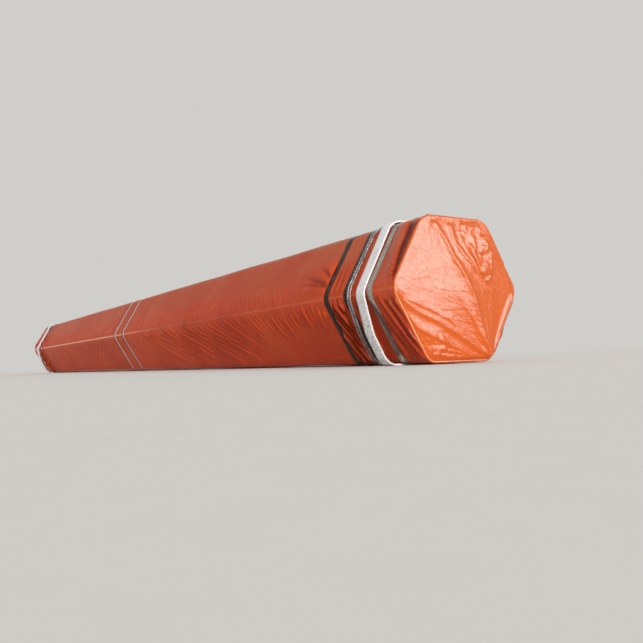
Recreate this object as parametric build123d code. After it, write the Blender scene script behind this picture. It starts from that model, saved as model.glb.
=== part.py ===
"""A wrapped hexagonal bundle of steel pipes, lying on a level floor.

Nineteen four inch pipes lie nested in five rows inside one coated woven sheet. Eight flat steel
straps, each closed by a crimped seal, clamp the bundle. At each end a webbing sling and two wire
rope loops go round it with some slack, ready for lifting.

X runs along the pipes, Z is up. The origin is on the floor, under the middle of the bundle.
The slings are the lowest pieces, so the bundle stands on their undersides.
"""

from build123d import *
import os
from math import cos, pi, sin

# Pipes, in mm
pipe_od = 114.3
pipe_wall = 6.02
pipe_length = 6400.0
pipes_per_side = 3  # 3 along each side of the hexagon makes 19 pipes
pipe_gap = 0.3  # between neighbouring pipes

# Wrap: one coated woven sheet, closed at both ends
wrap_thickness = 0.8
wrap_gap = 0.3  # between the pipes and the sheet
wrap_end_slack = 8.0  # between the pipe ends and the sheet folded over them
wrap_end_edge = 4.0  # the edge that the sheet makes where it turns over the pipe ends

# Flat steel straps and their crimped seals
strap_width = 32.0
strap_thickness = 0.8
strap_gap = 0.3  # between the sheet and what goes round it
strap_lap = 90.0  # how far the two ends of a strap lie over each other
strap_ramp = 16.0  # length in which a strap climbs into its seal
strap_clear = 2.0  # from the seal, and from the end of the lower layer, to the ramps
seal_length = 57.0
seal_thickness = 1.0
seal_leg = 12.0  # width of each leg folded under the strap
seal_gap = 0.2  # between a seal and its strap, and between the strap's two layers
notch_length = 9.0  # the two bites that crimp a seal and its strap together
notch_depth = 3.5
notch_over = 1.0  # how far the bites are drawn past the seal

# Webbing slings, two plies thick
sling_width = 50.0
sling_thickness = 7.0  # more than a rope's, so that the bundle stands on its slings
sling_lift = 7.0  # how far a sling stands off the upper corner on its slack side
sling_slack = 40.0  # how far it stands off the lower flank there
sling_belly_radius = 180.0
sling_foot = 48.0  # how far outside the bottom corner it comes down to the floor
sling_foot_radius = 60.0
sling_joint_length = 190.0  # sewn joint on top
sling_joint_thickness = 2.5  # of the ply that the joint adds

# Wire rope loops
rope_diameter = 6.0
rope_sides = 6  # a six-stranded rope, drawn by the outline of its strands
rope_corner_radius = 95.0
rope_tighter = 6.0  # how much tighter it turns at the two corners beside its hugging run
rope_slack = 30.0  # this and the next three, as for a sling
rope_belly_radius = 220.0
rope_foot = 34.0
rope_foot_radius = 80.0
ferrule_length = 30.0  # the pressed sleeve that joins the rope's two ends on top
ferrule_wall = 3.0
ferrule_gap = 0.2
ferrule_place = 70.0  # from the middle of the bundle

# Places along the bundle
outer_strap_place = 134.0  # the middles of the end straps, from the end of the pipes
second_strap_place = 281.0
third_strap_place = 416.0
middle_strap_offset = 100.0  # from the middle of the pipes
sling_beside = 1.5  # between a sling and the outer strap
rope_beside = 4.0  # between a wire rope and the second strap
rope_spacing = 15.0  # between the middles of the two ropes

# Worked out from the sizes above
pitch = pipe_od + pipe_gap
row_height = pitch * cos(pi / 6)
pipe_radius = pipe_od / 2
ring = (pipes_per_side - 1) * pitch  # from the middle pipe's centre to a corner pipe's centre
wrap_inner = pipe_radius + wrap_gap  # a reach is measured outward from the ring of outer pipe centres
wrap_outer = wrap_inner + wrap_thickness
held_reach = wrap_outer + strap_gap  # inner face of what goes round the sheet
centre_z = sling_thickness + held_reach + ring * cos(pi / 6)
held_top = centre_z + ring * cos(pi / 6) + held_reach
rope_reach = held_reach + rope_diameter / 2  # middle line of a rope that hugs the sheet
rope_off = (rope_corner_radius - rope_reach) * (1 / cos(pi / 6) - 1)  # a wide arc's corner lies out
sling_place = outer_strap_place + strap_width / 2 + sling_beside + sling_width / 2
inner_rope_place = second_strap_place - strap_width / 2 - rope_beside - rope_diameter / 2
outer_rope_place = inner_rope_place - rope_spacing


def corner(number, reach, out=0.0):
    """A corner of the hexagon whose flats lie at that reach, as (y, z), moved out from its middle.

    Corner 0 points to +Y, and the corners are numbered from there over the top.
    """
    radius = ring + reach / cos(pi / 6) + out
    angle = number * pi / 3
    return (radius * cos(angle), centre_z + radius * sin(angle))


def off_flank(reach, share, distance):
    """A point off the lower flank on the -Y side: share goes from its upper to its lower corner."""
    upper, lower = Vector(*corner(3, reach)), Vector(*corner(4, reach))
    outward = Vector(-cos(pi / 6), -sin(pi / 6))
    point = upper + (lower - upper) * share + outward * distance
    return (point.X, point.Y)


def rounded_hexagon(reach):
    """The face across the pipes that the bundle fills out to that reach."""
    return make_face(FilletPolyline(*[corner(k, reach) for k in range(6)], radius=reach, close=True))


def along_x(face, x, length):
    """Stands a face of (y, z) points across the pipes and thickens it along them, about x."""
    return extrude(Plane.YZ.offset(x - length / 2) * face, length)


def pipe_row(row):
    """The pipes of one row, counted from the bottom, as solids side by side."""
    up = row - (pipes_per_side - 1)
    count = 2 * pipes_per_side - 1 - abs(up)
    section = Circle(pipe_radius) - Circle(pipe_radius - pipe_wall)
    pipe = along_x(section, 0, pipe_length).solid()
    places = [(place - (count - 1) / 2) * pitch for place in range(count)]
    return Compound([Pos(0, y, centre_z + up * row_height) * pipe for y in places])


def wrap():
    """The sheet, as the closed thin shell that it makes round the pipes."""
    inside_length = pipe_length + 2 * wrap_end_slack
    outside = along_x(rounded_hexagon(wrap_outer), 0, inside_length + 2 * wrap_thickness)
    ends = outside.faces().filter_by(Axis.X).edges()
    inside = along_x(rounded_hexagon(wrap_inner), 0, inside_length)
    inner_ends = inside.faces().filter_by(Axis.X).edges()
    inner_edge = wrap_end_edge - wrap_thickness * (2 - 1 / cos(pi / 4))  # an even wall at the edge
    return chamfer(ends, wrap_end_edge) - chamfer(inner_ends, inner_edge)


def notches(x):
    """The bites in both edges of a seal, which also cut the strap inside it."""
    edge = strap_width / 2 + seal_gap + seal_thickness
    narrow, wide = notch_length / 4, notch_length / 2
    deep, past = edge - notch_depth, edge + notch_over
    bite = make_face(Polyline((deep, -narrow), (deep, narrow), (past, wide), (past, -wide), close=True))
    height = 2 * (strap_thickness + seal_thickness) + 3 * seal_gap
    one = extrude(Plane.XY.offset(held_top - notch_over) * bite, height + 2 * notch_over)
    return [Pos(x, 0, 0) * bite for bite in (one, mirror(one, about=Plane.YZ))]


def strip_section(points, radii, thickness):
    """A strip seen on edge: the line through the points with its corners rounded, thickened outward.

    The line runs anticlockwise round the bundle, so outward is to its right.
    """
    points = [Vector(*point) for point in points]
    normals = [(b - a).normalized().rotate(Axis.Z, -90) for a, b in zip(points, points[1:])]
    pairs = list(zip(normals, normals[1:]))
    mitres = [(m + n) * (thickness / (1 + m.dot(n))) for m, n in pairs]
    shifts = [normals[0] * thickness, *mitres, normals[-1] * thickness]
    turns_left = [m.cross(n).Z > 0 for m, n in pairs]
    outer_radii = [r and (r + thickness if left else r - thickness) for r, left in zip(radii, turns_left)]
    inner = FilletPolyline(*points, radius=radii)
    outer = FilletPolyline(*[point + shift for point, shift in zip(points, shifts)], radius=outer_radii)
    ends = [Line(inner @ 0, outer @ 0), Line(inner @ 1, outer @ 1)]
    return make_face(inner.edges() + outer.edges() + [end.edge() for end in ends])


def strap(x):
    """A steel strip wound once round the sheet, its two ends lapped on top inside the seal."""
    low = held_top + seal_thickness + seal_gap
    high = low + strap_thickness + seal_gap
    low_end = -seal_length / 2 - strap_clear
    high_end = strap_lap / 2 + strap_clear
    points = [
        (strap_lap / 2, low),
        (low_end, low),
        (low_end - strap_ramp, held_top),
        *[corner(k, held_reach) for k in (2, 3, 4, 5, 6, 7)],
        (high_end + strap_ramp, held_top),
        (high_end, high),
        (-strap_lap / 2, high),
    ]
    radii = [0, 0, *[held_reach] * 6, 0, 0]
    return along_x(strip_section(points, radii, strap_thickness), x, strap_width) - notches(x)


def seal(x):
    """A sleeve folded round the two layers of a strap, with its legs turned under them."""
    half = strap_width / 2 + seal_gap
    low = held_top + seal_thickness
    high = low + 2 * strap_thickness + 3 * seal_gap
    wall = seal_thickness
    outer = Pos(0, (low + high) / 2) * Rectangle(2 * (half + wall), high - low + 2 * wall)
    room = Pos(0, (low + high) / 2) * Rectangle(2 * half, high - low)
    slot = Pos(0, low - wall / 2) * Rectangle(2 * (half - seal_leg), 2 * wall)
    section = Plane.XZ.offset(-seal_length / 2) * (outer - room - slot)
    return Pos(x, 0, 0) * extrude(section, seal_length) - notches(x)


def sling(x):
    """A closed loop of webbing with slack on the -Y side, and its sewn joint on top."""
    foot_y, foot_z = corner(4, held_reach)
    points = [
        corner(1, held_reach),
        corner(2, held_reach + sling_lift),
        corner(3, held_reach),
        off_flank(held_reach, 0.5, sling_slack),
        (foot_y - sling_foot, foot_z),
        corner(5, held_reach),
        corner(6, held_reach),
    ]
    slack = [sling_belly_radius, sling_foot_radius]
    radii = [held_reach, held_reach + sling_lift, held_reach] + slack + [held_reach] * 2
    inside = make_face(FilletPolyline(*points, radius=radii, close=True))
    loop = offset(inside, amount=sling_thickness) - inside
    start, end = Vector(*points[0]), Vector(*points[1])  # the run over the top
    along = (end - start).normalized() * (sling_joint_length / 2)
    up = Vector(along.Y, -along.X).normalized()
    seam, face = up * (sling_thickness / 2), up * (sling_thickness + sling_joint_thickness)
    middle = (start + end) / 2
    ply = [middle - along + seam, middle - along + face, middle + along + face, middle + along + seam]
    return along_x(loop + make_face(Polyline(*ply, close=True)), x, sling_width)


def rope(x):
    """A wire rope loop: straight runs joined by arcs, wide ones where the stiff rope stands off."""
    foot_y, foot_z = corner(4, rope_reach)
    points = [
        corner(1, rope_reach, rope_off),
        corner(2, rope_reach, rope_off),
        corner(3, rope_reach, rope_off),
        off_flank(rope_reach, 0.5, rope_slack),
        (foot_y - rope_foot, foot_z),
        corner(5, rope_reach),
        corner(6, rope_reach, rope_off),
    ]
    tight = [rope_reach - rope_tighter, rope_corner_radius - rope_tighter]
    radii = [rope_corner_radius] * 3 + [rope_belly_radius, rope_foot_radius] + tight
    line = Plane.YZ.offset(x) * FilletPolyline(*points, radius=radii, close=True)
    section = Plane(origin=line @ 0, z_dir=line % 0) * RegularPolygon(rope_diameter / 2, rope_sides)
    return sweep(section, path=line)


def ferrule(x):
    """The six-sided sleeve pressed over a rope's two ends."""
    bore = rope_diameter / 2 + ferrule_gap
    sleeve = RegularPolygon(bore + ferrule_wall, rope_sides) - RegularPolygon(bore, rope_sides)
    height = centre_z + (ring + rope_off) * cos(pi / 6) + rope_reach
    middle = Plane(origin=(x, ferrule_place, height), z_dir=(0, 1, 0))
    return extrude(middle * sleeve, ferrule_length / 2, both=True)


def pair(make, x):
    """The same piece at both ends of the bundle, as two solids of one node."""
    return Compound([make(-x).solid(), make(x).solid()])


def build():
    """Every piece by the name of its node."""
    half = pipe_length / 2
    strap_places = {
        "outer": half - outer_strap_place,
        "second": half - second_strap_place,
        "third": half - third_strap_place,
        "middle": middle_strap_offset,
    }
    rope_places = {"outer": half - outer_rope_place, "inner": half - inner_rope_place}
    pieces = {f"pipe_row_{row + 1}": pipe_row(row) for row in range(2 * pipes_per_side - 1)}
    pieces["wrap"] = wrap()
    for which, x in strap_places.items():
        pieces[f"{which}_straps"] = pair(strap, x)
        pieces[f"{which}_strap_seals"] = pair(seal, x)
    for which, x in rope_places.items():
        pieces[f"{which}_wire_ropes"] = pair(rope, x)
        pieces[f"{which}_rope_ferrules"] = pair(ferrule, x)
    pieces["sling_1"] = sling(sling_place - half)
    pieces["sling_2"] = sling(half - sling_place)
    return pieces


if __name__ == "__main__":
    os.makedirs("parts", exist_ok=True)
    for name, piece in build().items():
        export_step(piece, f"parts/{name}.step")
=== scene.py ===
"""The looks of a wrapped hexagonal bundle of steel pipes: sheet, straps, slings and wire ropes.

X runs along the pipes, Z is up, and everything is in metres. The bundle has two ends that are
made alike. The +X end is called near, because the picture is taken from there.
"""

from math import atan2, ceil, cos, hypot, pi, radians, sin

import bmesh
import bpy
import numpy as np
from mathutils import Matrix, Vector, noise
from mathutils.geometry import delaunay_2d_cdt


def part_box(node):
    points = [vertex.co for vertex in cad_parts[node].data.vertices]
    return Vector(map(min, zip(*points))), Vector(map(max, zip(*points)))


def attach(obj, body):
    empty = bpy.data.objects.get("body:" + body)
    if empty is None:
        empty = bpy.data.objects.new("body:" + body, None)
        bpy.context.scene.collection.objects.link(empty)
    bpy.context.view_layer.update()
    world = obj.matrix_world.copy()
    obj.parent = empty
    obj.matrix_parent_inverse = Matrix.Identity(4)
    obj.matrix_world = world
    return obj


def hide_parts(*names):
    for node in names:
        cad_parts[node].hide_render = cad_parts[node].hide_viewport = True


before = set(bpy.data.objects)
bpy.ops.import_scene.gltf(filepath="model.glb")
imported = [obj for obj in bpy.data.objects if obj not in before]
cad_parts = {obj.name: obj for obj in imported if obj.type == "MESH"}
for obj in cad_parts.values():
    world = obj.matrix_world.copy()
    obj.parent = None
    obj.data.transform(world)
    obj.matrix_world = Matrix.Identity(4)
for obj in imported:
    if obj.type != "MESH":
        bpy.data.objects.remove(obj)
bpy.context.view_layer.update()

# Pipes and sheet
pipe_pitch = 0.1146
pipes_per_side = 3
sheet_reach = 0.05825  # a reach is measured outward from the ring of the outer pipes' centres
sheet_overlap = 0.12
held_reach = 0.05855  # inner face of what goes round the sheet
end_edge = 0.004  # the edge that the sheet makes where it turns over the pipe ends
# Steel straps
strap_width = 0.032
strap_thickness = 0.0008
strap_lap = 0.09
strap_ramp = 0.016
strap_clear = 0.002
seal_length = 0.057
seal_wall = 0.001
seal_gap = 0.0002
bite_half = 0.00225
bite_slope = 2.0
bite_narrow = 0.0137  # half the width that a bite leaves

# Webbing slings
sling_width = 0.05
sling_thickness = 0.007
sling_lift = 0.007
sling_slack = 0.04
sling_belly_radius = 0.18
sling_foot = 0.048
sling_foot_radius = 0.06
sling_joint_length = 0.19
sling_joint_thickness = 0.0025

# Wire ropes
rope_diameter = 0.006
rope_strands = 6
rope_lay = 0.045  # length in which a strand goes once round
rope_corner_radius = 0.095
rope_tighter = 0.006
rope_slack = 0.03
rope_belly_radius = 0.22
rope_foot = 0.034
rope_foot_radius = 0.08

# Places along the bundle, from the end of the pipes
pipe_length = 6.4
outer_strap_place = 0.134
second_strap_place = 0.281
third_strap_place = 0.416
middle_strap_offset = 0.1
sling_place = 0.1765
inner_rope_place = 0.258
outer_rope_place = 0.243

# Worked out from the sizes above and from the frame
ring = (pipes_per_side - 1) * pipe_pitch
sheet_low, sheet_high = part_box("wrap")
centre_z = (sheet_low.z + sheet_high.z) / 2
sheet_end = sheet_high.x
side_run = ring
corner_run = sheet_reach * pi / 3
side_step = side_run + corner_run
girth = 6 * side_step
rope_reach = held_reach + rope_diameter / 2
rope_off = (rope_corner_radius - rope_reach) * (1 / cos(pi / 6) - 1)


# Shapes

def corner(number, reach, out=0.0):
    """A corner of the hexagon whose flats lie at that reach, as (y, z). Corner 0 points to +Y."""
    radius = ring + reach / cos(pi / 6) + out
    angle = number * pi / 3
    return Vector((radius * cos(angle), centre_z + radius * sin(angle)))


def off_flank(reach, share, distance):
    """A point off the lower flank on the -Y side."""
    upper, lower = corner(3, reach), corner(4, reach)
    return upper.lerp(lower, share) + Vector((-cos(pi / 6), -sin(pi / 6))) * distance


def rounded_path(points, radii, step, closed):
    """Points along straight runs joined by arcs: a list of (place, direction) about one step apart."""
    count = len(points)
    bends = range(count) if closed else range(1, count - 1)
    path = [] if closed else [(points[0], (points[1] - points[0]).normalized())]

    def run_to(target):
        if not path:
            return
        start = path[-1][0]
        length = (target - start).length
        steps = max(1, ceil(length / step))
        direction = (target - start).normalized()
        path.extend((start.lerp(target, k / steps), direction) for k in range(1, steps + 1))

    for i in bends:
        here, before, after = points[i], points[i - 1], points[(i + 1) % count]
        come, leave = (here - before).normalized(), (after - here).normalized()
        turn = -come.angle_signed(leave, 0.0)
        radius = radii[i]
        tangent = radius * abs(np.tan(turn / 2))
        start = here - come * tangent
        run_to(start)
        if radius == 0:
            continue
        side = Vector((-come.y, come.x)) * (1 if turn > 0 else -1)
        middle = start + side * radius
        steps = max(2, ceil(abs(turn) * radius / (0.7 * step)))
        for k in range(0 if not path else 1, steps + 1):
            angle = turn * k / steps
            spoke = Matrix.Rotation(angle, 2) @ (start - middle)
            path.append((middle + spoke, Matrix.Rotation(angle, 2) @ come))
    if closed:
        run_to(path[0][0])
        path.pop()
    else:
        run_to(points[-1])
    return path


def new_mesh_object(name, vertices, faces, uvs=None, smooth=True):
    """A mesh object at the origin, with one UV for each vertex if they are given."""
    mesh = bpy.data.meshes.new(name)
    mesh.from_pydata([tuple(v) for v in vertices], [], faces)
    if uvs is not None:
        layer = mesh.uv_layers.new(name="surface")
        loops = np.empty(len(mesh.loops), dtype=np.int32)
        mesh.loops.foreach_get("vertex_index", loops)
        layer.data.foreach_set("uv", np.asarray(uvs, dtype=np.float32)[loops].ravel())
    mesh.shade_smooth() if smooth else mesh.shade_flat()
    mesh.update()
    piece = bpy.data.objects.new(name, mesh)
    bpy.context.scene.collection.objects.link(piece)
    return piece


def swept(path, section, x, closed, widths=None):
    """Vertices, faces and UVs of a section of (along x, outward) points carried along a path.

    The path lies across the pipes. Outward is to the right of its direction.
    """
    vertices, faces, uvs = [], [], []
    size = len(section)
    around = [0.0]
    for a, b in zip(section, section[1:]):
        around.append(around[-1] + hypot(b[0] - a[0], b[1] - a[1]))
    length = 0.0
    for k, (place, direction) in enumerate(path):
        if k:
            length += (place - path[k - 1][0]).length
        outward = Vector((direction.y, -direction.x))
        scale = widths[k] if widths else 1.0
        for (across, up), run in zip(section, around):
            point = place + outward * up
            vertices.append((x + across * scale, point.x, point.y))
            uvs.append((run, length))
    rows = len(path)
    for k in range(rows if closed else rows - 1):
        for j in range(size):
            a, b = k * size + j, k * size + (j + 1) % size
            c, d = ((k + 1) % rows) * size + (j + 1) % size, ((k + 1) % rows) * size + j
            faces.append((a, b, c, d))
    if not closed:
        faces.append(tuple(reversed(range(size))))
        faces.append(tuple(range((rows - 1) * size, rows * size)))
    return vertices, faces, uvs


def joined(parts):
    """Several (vertices, faces, uvs) as one."""
    vertices, faces, uvs = [], [], []
    for more_vertices, more_faces, more_uvs in parts:
        first = len(vertices)
        vertices += more_vertices
        uvs += more_uvs
        faces += [tuple(first + index for index in face) for face in more_faces]
    return vertices, faces, uvs


def finish_piece(piece, material, slot_name, *nodes):
    """Gives a piece its material and its body, and hides the CAD nodes that it takes the place of. The slot
    name is not used.
    """
    piece.data.materials.clear()
    piece.data.materials.append(material)
    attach(piece, "root")
    if nodes:
        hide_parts(*nodes)


def dress_node(name, material):
    """Gives a CAD node its material."""
    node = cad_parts[name]
    node.data.materials.clear()
    node.data.materials.append(material)


# Sheet: its folds are heights above the taut sheet, worked out for arrays of points

def smooth_step(low, high, value):
    share = np.clip((value - low) / (high - low), 0, 1)
    return share * share * (3 - 2 * share)


def along_line(a, b, points):
    """For points (a, b): their distance from a line of points, and how far along it they are, 0 to 1."""
    nearest, place = np.full_like(a, 1e9), np.zeros_like(a)
    lengths = [hypot(q[0] - p[0], q[1] - p[1]) for p, q in zip(points, points[1:])]
    gone = 0.0
    for start, end, length in zip(points, points[1:], lengths):
        along_a, along_b = (end[0] - start[0]) / length, (end[1] - start[1]) / length
        run = np.clip((a - start[0]) * along_a + (b - start[1]) * along_b, 0, length)
        gap = np.hypot(a - start[0] - run * along_a, b - start[1] - run * along_b)
        place = np.where(gap < nearest, (gone + run) / sum(lengths), place)
        nearest = np.minimum(nearest, gap)
        gone += length
    return nearest, place


def crease(a, b, points, width, height, grow, fade):
    """A ridge along a line of points, as a height at (a, b), sharp on top.

    It grows over that share of the line at its start, and fades over that share at its end.
    """
    gap, place = along_line(a, b, points)
    ends = smooth_step(0, grow, place) if grow else 1.0
    return height * ends * (1 - smooth_step(1 - fade, 1, place)) * np.exp(-gap / width)


def waviness(points, scale, seed):
    """Soft noise from -1 to 1 at 3-D points, with bumps of about that many metres."""
    shift = Vector((seed * 17.3, seed * 5.1, seed * 9.7))
    return np.array([noise.noise(Vector(p) / scale + shift) for p in points])


def clear_of_ties(from_end, x):
    """1 where nothing presses the sheet against the pipes, 0 under the straps, slings and ropes."""
    # beside a tie, where the sheet starts to rise, and where it is up
    tight, loose, middle_loose = 0.001, 0.014, 0.02
    inset = sheet_end - pipe_length / 2
    ties = [(place, strap_width) for place in (outer_strap_place, second_strap_place, third_strap_place)]
    ties.append((sling_place, sling_width))
    ties += [(place, rope_diameter) for place in (inner_rope_place, outer_rope_place)]
    free = np.ones_like(from_end)
    for place, width in ties:
        free *= smooth_step(tight, loose, np.abs(from_end - place - inset) - width / 2)
    for place in (-middle_strap_offset, middle_strap_offset):
        free *= smooth_step(tight, middle_loose, np.abs(x - place) - strap_width / 2)
    return free


# The layer that a folded end leaves on each flank: how high it stands, that height's share on the flanks
# in turn, its rim's line as (from the end, round from the ridge), and its section and shade across that
rim_height = 0.018
rim_depths = (1.0, 0.5, 0.3)
rim_line = [(0.012, 0.005), (0.03, 0.06), (0.055, 0.163), (0.06, 0.27)]
rim_section = [(0, 0.3), (0.12, 0.35), (0.8, 0.02), (1, 1), (1.12, 0.8), (2.2, 0)]
rim_shade = [(0, 0.3), (0.2, 1), (0.8, 1), (0.9, 0)]
flanks = range(-4, 3)  # by number, from the sheet's first edge to its last


def end_rims(from_end, u, free_edge):
    """The layer that the folded end leaves on each flank, a pocket by the edge: height, and painted shade.
    """
    grows, fades = (0, 0.05), (0.255, 0.285)  # past a ridge
    height, pocket_shade = np.zeros_like(u), np.zeros_like(u)
    line, section, shade = (np.array(rows).T for rows in (rim_line, rim_section, rim_shade))
    for side in flanks:
        past = u - side * side_step
        on_side = smooth_step(*grows, past) * (1 - smooth_step(*fades, past)) * (u < free_edge)
        depth = rim_depths[side % 3] * on_side
        share = from_end / np.interp(past, line[1], line[0])
        height += rim_height * depth * np.interp(share, *section)
        pocket_shade += depth * np.interp(share, *shade)
    return height, pocket_shade


def parallel_folds(from_end, away, line, wander, seed):
    """Folds side by side that run away from a ridge: a count that grows by 1 a fold, and their height.

    The line's rows are: place from the end, lean towards the end, spacing, length and height. The
    folds wander sideways by that share of their spacing.
    """
    most_folds = 400
    begins, sizes, strengths = (-0.005, 0.035), (0.75, 1.15), (0.45, 1.0)  # each fold has its own of these
    bend_length = 0.13
    places, leans, spacings, lengths, heights = np.array(line).T
    start = from_end
    for _ in range(5):  # a fold's start is followed back along its lean, which changes on the way
        start = from_end + np.interp(start, places, leans) * away
    stations = np.linspace(0, 7, 1401)
    gone = np.cumsum((stations[1] - stations[0]) / np.interp(stations, places, spacings))
    points = np.column_stack([from_end.ravel(), away.ravel(), 0 * away.ravel()])
    wandering = wander * waviness(points, bend_length, seed).reshape(away.shape)
    count = np.interp(start, stations, gone) + wandering
    number = np.clip(np.floor(count), 0, most_folds - 1).astype(int)
    random = np.random.default_rng(seed)
    begin, size, strength = (random.uniform(*limits, most_folds)[number]
                             for limits in (begins, sizes, strengths))
    length = np.interp(start, places, lengths) * size
    window = smooth_step(begin - 0.01, begin + 0.03, away) * (1 - smooth_step(0.45 * length, length, away))
    window *= smooth_step(0.0, 0.012, away)
    return count, np.interp(start, places, heights) * strength * window


# Folds of each stretch of a flank, from the end inwards: where it ends, how much they wander, the
# lower flank's and the upper one's
stretches = [
    (outer_strap_place, 0.2,
     [(0.0, 0.2, 0.04, 0.4, 0.012), (0.1, 0.3, 0.04, 0.45, 0.013), (0.3, 0.3, 0.045, 0.45, 0.012)],
     [(0.0, -0.1, 0.05, 0.2, 0.003), (0.3, -0.1, 0.06, 0.2, 0.004)]),
    (third_strap_place, 0.15,
     [(0.2, 0.42, 0.03, 0.9, 0.026), (0.8, 0.46, 0.032, 0.9, 0.026)],
     [(0.2, -0.15, 0.034, 0.16, 0.008), (0.8, -0.15, 0.036, 0.16, 0.008)]),
    (pipe_length, 0.45,
     [(0.42, -0.1, 0.033, 0.15, 0.009), (0.7, 0.0, 0.036, 0.17, 0.01), (0.9, 0.36, 0.04, 0.19, 0.009),
      (1.3, 1.2, 0.055, 0.2, 0.008), (1.6, 1.8, 0.075, 0.3, 0.013), (2.5, 2.1, 0.1, 0.31, 0.015),
      (3.0, 2.1, 0.11, 0.2, 0.005), (3.4, 2.1, 0.12, 0.15, 0.001)],
     [(0.6, -0.9, 0.04, 0.09, 0.0), (0.9, -0.9, 0.045, 0.1, 0.006), (1.8, -0.5, 0.08, 0.2, 0.006),
      (2.4, -0.5, 0.12, 0.2, 0.005), (3.4, -0.5, 0.15, 0.1, 0.001)]),
]
# Creases that part the loose lobes beside a third strap, as (from the end, away from the ridge)
pucker_lines = [
    [(0.43, 0.05), (0.54, 0.065), (0.7, 0.09)],
    [(0.43, 0.055), (0.54, 0.085), (0.75, 0.15)],
    [(0.43, 0.09), (0.5, 0.128), (0.57, 0.165)],
]
pucker_height, pucker_width = 0.018, 0.009


def flank_folds(from_end, u, seed):
    """Folds that run away from the two side ridges: their count and their height."""
    below = np.minimum(-u, u + 3 * side_step)
    above = np.minimum(u, 3 * side_step - u)
    count, height = np.zeros_like(u), np.zeros_like(u)
    for number, (limit, wander, lower, upper) in reversed(list(enumerate(stretches))):
        here = from_end < limit + sheet_end - pipe_length / 2
        low_count, low_height = parallel_folds(from_end, np.abs(below), lower, wander, seed + 2 * number)
        high_count, high_height = parallel_folds(from_end, np.abs(above), upper, wander,
                                                 seed + 2 * number + 1)
        count = np.where(here, np.where(below > 0, low_count, high_count), count)
        height = np.where(here, np.where(below > 0, low_height, high_height), height)
    return count, height


def puckers(from_end, u):
    """The loose lobes beside the third straps on the upper flanks: height, and shade of their creases."""
    ends, grows, fades = (0.5, 0.76), (0.015, 0.05), (0.11, 0.21)  # from the end, and from the ridge
    above = np.minimum(u, 3 * side_step - u)
    loose = (1 - smooth_step(*ends, from_end)) * (from_end > third_strap_place)
    loose *= smooth_step(*grows, above) * (1 - smooth_step(*fades, above))
    parted = np.max([crease(from_end, above, line, pucker_width, 1, 0, 0.7)
                     for line in pucker_lines], axis=0)
    return pucker_height * loose * (1 - parted), 0.6 * loose * parted


# Creases of the folded end, across and up from its middle: line, width, height, share that dies out
low_back, top_front, front = (0.132, -0.25), (-0.112, 0.24), (-0.279, -0.012)
main_crease = [top_front, (-0.062, 0.179), (-0.03, 0.107), (0.015, 0.045), (0.048, -0.02), (0.1, -0.185),
               low_back]
lower_crease = [(-0.236, -0.098), (-0.198, -0.137), (-0.138, -0.165), (-0.045, -0.203), (0.044, -0.237),
                low_back]
face_creases = [
    (main_crease, 0.012, 0.006, 0.1),
    (lower_crease, 0.01, 0.006, 0.2),
    ([(-0.035, 0.236), (-0.019, 0.171), (0.014, 0.124), (0.047, 0.098), (0.087, 0.051), (0.12, 0.028)],
     0.009, 0.008, 0.4),
    ([(0.013, 0.215), (0.047, 0.14), (0.087, 0.07), (0.122, 0.032)], 0.007, 0.007, 0.2),
    ([(0.1, 0.225), (0.15, 0.15), (0.16, 0.091), (0.15, 0.035), (0.122, 0.03)], 0.007, 0.006, 0.2),
    ([front, (-0.257, -0.043), (-0.198, -0.081), (-0.108, -0.117), (-0.014, -0.168), (0.07, -0.218),
      low_back], 0.008, 0.006, 0.1),
    ([front, (-0.234, -0.041), (-0.163, -0.065), (-0.09, -0.098), (-0.014, -0.128)], 0.007, 0.004, 0.4),
    ([front, (-0.2, -0.038), (-0.127, -0.048), (-0.077, -0.074)], 0.008, 0.0015, 0.7),
    ([low_back, (0.05, -0.195), (-0.077, -0.1), (-0.12, -0.066)], 0.01, 0.006, 0.7),
    ([low_back, (0.06, -0.13), (-0.02, -0.02), (-0.07, 0.06)], 0.01, 0.005, 0.7),
    ([low_back, (0.115, -0.1), (0.085, -0.01)], 0.012, 0.004, 0.8),
    ([low_back, (0.14, -0.15), (0.15, -0.02), (0.19, 0.08)], 0.014, 0.003, 0.8),
    ([top_front, (-0.135, 0.12), (-0.15, 0.03)], 0.012, 0.003, 0.8),
    ([top_front, (-0.085, 0.13), (-0.06, 0.05)], 0.01, 0.0035, 0.8),
    ([(0.276, -0.012), (0.244, -0.052), (0.19, -0.148), (0.144, -0.24)], 0.007, 0.009, 0.1),
    ([(-0.143, -0.2), (-0.14, -0.228), (-0.069, -0.238), (0.072, -0.246)], 0.008, 0.009, 0.2),
    ([(-0.13, -0.205), (-0.05, -0.222), (0.04, -0.24)], 0.006, 0.005, 0.3),
]
# The large panels rise from the edge to these two creases
panel_rises = [(main_crease, 0.022), (lower_crease, 0.009)]


def crumpled_lobe(y, z, crumple, fine):
    """The crumpled lobe below the upper rear corner of the face, as a height."""
    top, bottom = 0.235, 0.03
    share = np.clip((top - z) / (top - bottom), 0, 1)
    left, right = 0.013 + 0.1 * share ** 1.3, 0.108 + 0.05 * np.sin(share * 2.4)
    inside = smooth_step(-0.006, 0.008, y - left) * smooth_step(-0.006, 0.008, right - y)
    inside *= smooth_step(0.02, 0.035, z) * (1 - smooth_step(0.225, 0.25, z))
    return inside * (0.003 + 0.1 * np.clip(y - left, 0, None) + 0.01 * crumple + 0.005 * fine)


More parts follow.
